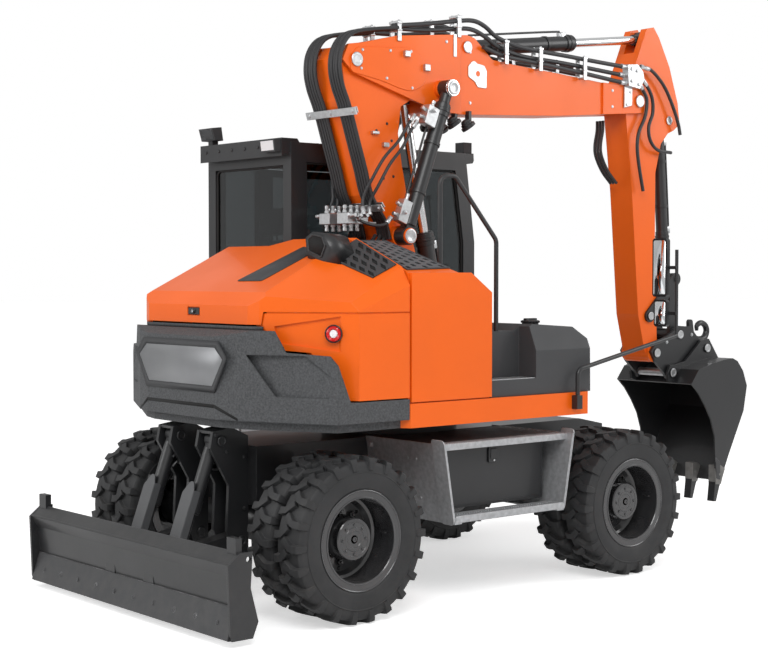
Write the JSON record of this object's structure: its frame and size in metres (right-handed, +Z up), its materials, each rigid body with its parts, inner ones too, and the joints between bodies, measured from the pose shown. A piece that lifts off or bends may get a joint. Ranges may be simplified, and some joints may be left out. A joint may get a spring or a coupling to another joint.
{
  "type": "wheeled excavator",
  "caption": "Wheeled excavator on twin tyres with dozer blade, two-piece boom, arm and backhoe bucket; swing, booms, blade, steering, doors and hood move",
  "frame": {"origin": "middle of the bounding box on the ground", "axes": "+X forward, the way the cab faces; +Y to the machine's left; +Z up"},
  "size_m": [5.375, 2.3775, 3.962],
  "materials": {
    "black_paint": "satin",
    "black_rubber": "matt",
    "cab_plastic": "matt",
    "chrome_rod": "polished",
    "grey_casting": "rough cast",
    "hose_rubber": "matt",
    "orange_paint": "semi-gloss",
    "rim_paint": "gloss",
    "seat_fabric": "woven",
    "tank_plastic": "textured",
    "tinted_glass": "smooth",
    "zinc_sheet": "galvanised"
  },
  "bodies": {
    "chassis": {"chassis_frame": "black_paint", "blade_towers": "black_paint", "axles": "black_paint", "driveline": "black_paint", "step_frames": "zinc_sheet", "tool_boxes": "black_paint"},
    "tool_door_right": {"tool_door_right": "black_paint"},
    "tool_door_left": {"tool_door_left": "black_paint"},
    "knuckle_right": {"knuckle_right": "black_paint"},
    "knuckle_left": {"knuckle_left": "black_paint"},
    "tie_rod": {"tie_rod": "black_paint"},
    "wheels_front_right": {"rims_front_right": "rim_paint", "tyres_front_right": "black_rubber"},
    "wheels_front_left": {"rims_front_left": "rim_paint", "tyres_front_left": "black_rubber"},
    "wheels_rear_right": {"rims_rear_right": "rim_paint", "tyres_rear_right": "black_rubber"},
    "wheels_rear_left": {"rims_rear_left": "rim_paint", "tyres_rear_left": "black_rubber"},
    "blade": {"blade": "black_paint"},
    "blade_barrels": {"blade_barrels": "black_paint"},
    "blade_rods": {"blade_rods": "chrome_rod"},
    "upper": {"turntable": "orange_paint", "counterweight": "grey_casting", "engine_block": "black_paint", "side_housing": "orange_paint", "tail_panels": "orange_paint", "fuel_tank": "tank_plastic", "cab_frame": "black_paint", "cab_glass": "tinted_glass", "cab_interior": "cab_plastic", "seat": "seat_fabric", "handrails": "black_paint", "cab_lamps": "cab_plastic"},
    "hood": {"hood": "orange_paint", "exhaust": "cab_plastic"},
    "side_door": {"side_door": "orange_paint"},
    "cab_door": {"cab_door": "black_paint", "door_glass": "tinted_glass"},
    "base_boom": {"base_boom": "orange_paint", "base_hoses": "hose_rubber"},
    "lift_barrel": {"lift_barrel": "black_paint"},
    "lift_rod": {"lift_rod": "chrome_rod"},
    "upper_boom": {"upper_boom": "orange_paint", "upper_hoses": "hose_rubber"},
    "adjust_barrels": {"adjust_barrels": "black_paint"},
    "adjust_rods": {"adjust_rods": "chrome_rod"},
    "arm": {"arm": "orange_paint"},
    "arm_barrel": {"arm_barrel": "black_paint"},
    "arm_rod": {"arm_rod": "chrome_rod"},
    "bucket": {"coupler": "black_paint", "bucket": "black_paint"},
    "rocker": {"rocker": "black_paint"},
    "link": {"link": "black_paint"},
    "bucket_barrel": {"bucket_barrel": "black_paint"},
    "bucket_rod": {"bucket_rod": "chrome_rod"}
  },
  "joints": [
    {"name": "swing", "type": "hinge", "parent": "chassis", "child": "upper", "pos_m": [-0.552, 0, 1.14], "axis": [0, 0, 1], "continuous": true},
    {"name": "wheel_rear_right", "type": "hinge", "parent": "chassis", "child": "wheels_rear_right", "pos_m": [-1.732, -0.926, 0.5], "axis": [0, 1, 0], "continuous": true},
    {"name": "steer_right", "type": "hinge", "parent": "chassis", "child": "knuckle_right", "pos_m": [0.668, -0.6, 0.5], "axis": [0, 0, 1], "range_deg": [-22, 22]},
    {"name": "wheel_front_right", "type": "hinge", "parent": "knuckle_right", "child": "wheels_front_right", "pos_m": [0.668, -0.926, 0.5], "axis": [0, 1, 0], "continuous": true},
    {"name": "wheel_rear_left", "type": "hinge", "parent": "chassis", "child": "wheels_rear_left", "pos_m": [-1.732, 0.926, 0.5], "axis": [0, 1, 0], "continuous": true},
    {"name": "steer_left", "type": "hinge", "parent": "chassis", "child": "knuckle_left", "pos_m": [0.668, 0.6, 0.5], "axis": [0, 0, 1], "range_deg": [-22, 22]},
    {"name": "wheel_front_left", "type": "hinge", "parent": "knuckle_left", "child": "wheels_front_left", "pos_m": [0.668, 0.926, 0.5], "axis": [0, 1, 0], "continuous": true},
    {"name": "tie_rod_slide", "type": "slide", "parent": "chassis", "child": "tie_rod", "axis": [0, -1, 0], "range_m": [-0.0634, 0.0634]},
    {"name": "tool_door_right", "type": "hinge", "parent": "chassis", "child": "tool_door_right", "pos_m": [-0.517, -1.003, 0.59], "axis": [1, 0, 0], "range_deg": [0, 90]},
    {"name": "tool_door_left", "type": "hinge", "parent": "chassis", "child": "tool_door_left", "pos_m": [-0.517, 1.003, 0.59], "axis": [-1, 0, 0], "range_deg": [0, 90]},
    {"name": "blade_lift", "type": "hinge", "parent": "chassis", "child": "blade", "pos_m": [-2.002, 0, 0.42], "axis": [0, 1, 0], "range_deg": [-8, 25]},
    {"name": "blade_barrels_tilt", "type": "hinge", "parent": "chassis", "child": "blade_barrels", "pos_m": [-2.152, 0, 1.05], "axis": [0, 1, 0], "range_deg": [-2.77, 6.53]},
    {"name": "blade_rods_slide", "type": "slide", "parent": "blade_barrels", "child": "blade_rods", "axis": [-0.3406, 0, -0.9402], "range_m": [-0.1652, 0.0542]},
    {"name": "boom_lift", "type": "hinge", "parent": "upper", "child": "base_boom", "pos_m": [-0.512, -0.2, 1.64], "axis": [0, 1, 0], "range_deg": [-2, 55]},
    {"name": "lift_barrel_tilt", "type": "hinge", "parent": "upper", "child": "lift_barrel", "pos_m": [-0.195, -0.2, 1.33], "axis": [0, 1, 0], "range_deg": [-2.73, 48.62]},
    {"name": "lift_rod_slide", "type": "slide", "parent": "lift_barrel", "child": "lift_rod", "axis": [-0.2041, 0, 0.9789], "range_m": [-0.3341, 0.0141]},
    {"name": "boom_adjust", "type": "hinge", "parent": "base_boom", "child": "upper_boom", "pos_m": [-1.137, -0.2, 3.455], "axis": [0, -1, 0], "range_deg": [0, 55]},
    {"name": "adjust_barrels_tilt", "type": "hinge", "parent": "base_boom", "child": "adjust_barrels", "pos_m": [-0.782, -0.2, 2.32], "axis": [0, -1, 0], "range_deg": [-1, 14.85]},
    {"name": "adjust_rods_slide", "type": "slide", "parent": "adjust_barrels", "child": "adjust_rods", "axis": [0.3568, 0, 0.9342], "range_m": [-0.002, 0.6267]},
    {"name": "arm_swing", "type": "hinge", "parent": "upper_boom", "child": "arm", "pos_m": [1.648, -0.2, 3.38], "axis": [0, 1, 0], "range_deg": [-55, 12]},
    {"name": "arm_barrel_tilt", "type": "hinge", "parent": "upper_boom", "child": "arm_barrel", "pos_m": [-0.122, -0.2, 3.63], "axis": [0, 1, 0], "range_deg": [-3.18, 1.48]},
    {"name": "arm_rod_slide", "type": "slide", "parent": "arm_barrel", "child": "arm_rod", "axis": [0.992, 0, 0.1262], "range_m": [-0.4886, 0.1082]},
    {"name": "bucket_curl", "type": "hinge", "parent": "arm", "child": "bucket", "pos_m": [1.848, -0.2, 1.46], "axis": [0, 1, 0], "range_deg": [-18, 60]},
    {"name": "rocker_tilt", "type": "hinge", "parent": "arm", "child": "rocker", "pos_m": [1.808, -0.2, 1.745], "axis": [0, 1, 0], "range_deg": [-15.75, 50.16]},
    {"name": "link_tilt", "type": "hinge", "parent": "rocker", "child": "link", "pos_m": [2.118, -0.2, 2.03], "axis": [0, 1, 0], "range_deg": [-33.64, 10.79]},
    {"name": "bucket_barrel_tilt", "type": "hinge", "parent": "arm", "child": "bucket_barrel", "pos_m": [2.028, -0.2, 3.26], "axis": [0, 1, 0], "range_deg": [-5.72, 2.42]},
    {"name": "bucket_rod_slide", "type": "slide", "parent": "bucket_barrel", "child": "bucket_rod", "axis": [0.073, 0, -0.9973], "range_m": [-0.0966, 0.3172]},
    {"name": "side_door", "type": "hinge", "parent": "upper", "child": "side_door", "pos_m": [-0.667, -1.15, 1.288], "axis": [0, 0, 1], "range_deg": [0, 80]},
    {"name": "hood", "type": "hinge", "parent": "upper", "child": "hood", "pos_m": [-1.353, 0, 2.285], "axis": [0, 1, 0], "range_deg": [0, 45]},
    {"name": "cab_door", "type": "hinge", "parent": "upper", "child": "cab_door", "pos_m": [-0.814, 1.146, 1.5], "axis": [0, 0, 1], "range_deg": [0, 100]}
  ],
  "couplings": [
    {"joint": "steer_left", "follows": "steer_right", "ratio": 1},
    {"joint": "tie_rod_slide", "follows": "steer_right", "m_per_rad": 0.16},
    {"joint": "blade_barrels_tilt", "follows": "blade_lift", "ratio": 0.22121},
    {"joint": "blade_rods_slide", "follows": "blade_lift", "m_per_rad": -0.37398},
    {"joint": "lift_barrel_tilt", "follows": "boom_lift", "ratio": 0.86583},
    {"joint": "lift_rod_slide", "follows": "boom_lift", "m_per_rad": -0.346},
    {"joint": "adjust_barrels_tilt", "follows": "boom_adjust", "ratio": 0.25183},
    {"joint": "adjust_rods_slide", "follows": "boom_adjust", "m_per_rad": 0.6508},
    {"joint": "arm_barrel_tilt", "follows": "arm_swing", "ratio": 0.0396},
    {"joint": "arm_rod_slide", "follows": "arm_swing", "m_per_rad": 0.50687},
    {"joint": "rocker_tilt", "follows": "bucket_curl", "ratio": 0.81928},
    {"joint": "link_tilt", "follows": "bucket_curl", "ratio": -0.54403},
    {"joint": "bucket_barrel_tilt", "follows": "bucket_curl", "ratio": -0.07863},
    {"joint": "bucket_rod_slide", "follows": "bucket_curl", "m_per_rad": 0.30097}
  ]
}
